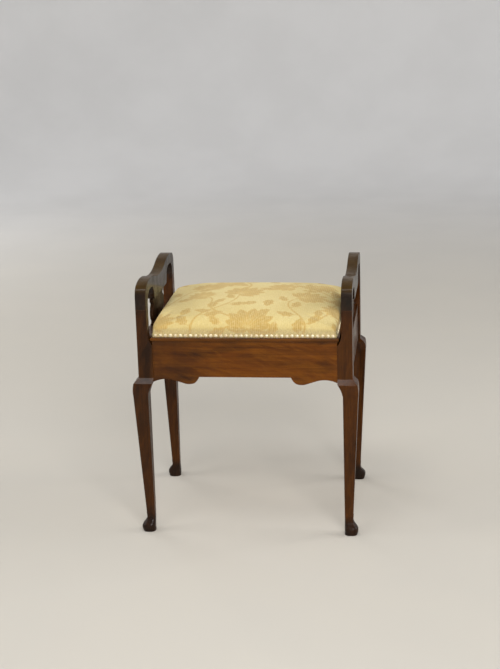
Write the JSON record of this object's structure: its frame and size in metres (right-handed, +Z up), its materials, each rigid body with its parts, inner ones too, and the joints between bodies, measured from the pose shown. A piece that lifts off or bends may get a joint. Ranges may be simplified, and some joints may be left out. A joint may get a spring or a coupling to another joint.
{
  "type": "piano stool",
  "caption": "Walnut piano stool with cabriole legs, pierced raised ends as handles, and an upholstered lid hinged over a music box.",
  "frame": {"origin": "on the floor, under the middle of the stool", "axes": "+Z up, -Y to the front, +X to the sitter's right as seen from the front"},
  "size_m": [0.5242, 0.4102, 0.606],
  "materials": {
    "walnut": "polished, reddish brown with darker figure",
    "plain_wood": "unpolished pale wood",
    "woven_fabric": "ribbed weave, pale gold ground with tan foliage",
    "stuffing": "soft wadding",
    "brass": "polished"
  },
  "bodies": {
    "frame": {"box_floor": "plain_wood", "front_cleat": "plain_wood", "front_left_leg": "walnut", "front_right_leg": "walnut", "front_seat_rail": "walnut", "left_cleat": "plain_wood", "left_handle_rail": "walnut", "left_hinge_pin": "brass", "left_hinge_rail_leaf": "brass", "left_side_rail": "walnut", "left_splat": "walnut", "rail_hinge_screws": "brass", "rear_cleat": "plain_wood", "rear_left_leg": "walnut", "rear_right_leg": "walnut", "rear_seat_rail": "walnut", "right_cleat": "plain_wood", "right_handle_rail": "walnut", "right_hinge_pin": "brass", "right_hinge_rail_leaf": "brass", "right_side_rail": "walnut", "right_splat": "walnut"},
    "lid": {"cover_nails": "brass", "left_hinge_lid_leaf": "brass", "lid_board": "plain_wood", "lid_front_member": "walnut", "lid_hinge_screws": "brass", "lid_left_member": "walnut", "lid_rear_member": "walnut", "lid_right_member": "walnut", "right_hinge_lid_leaf": "brass", "seat_cover": "woven_fabric", "seat_pad": "stuffing"}
  },
  "joints": [
    {"name": "lid_hinge", "type": "hinge", "parent": "frame", "child": "lid", "pos_m": [0, 0.1933, 0.472], "axis": [-1, 0, 0], "range_deg": [0, 100]}
  ]
}
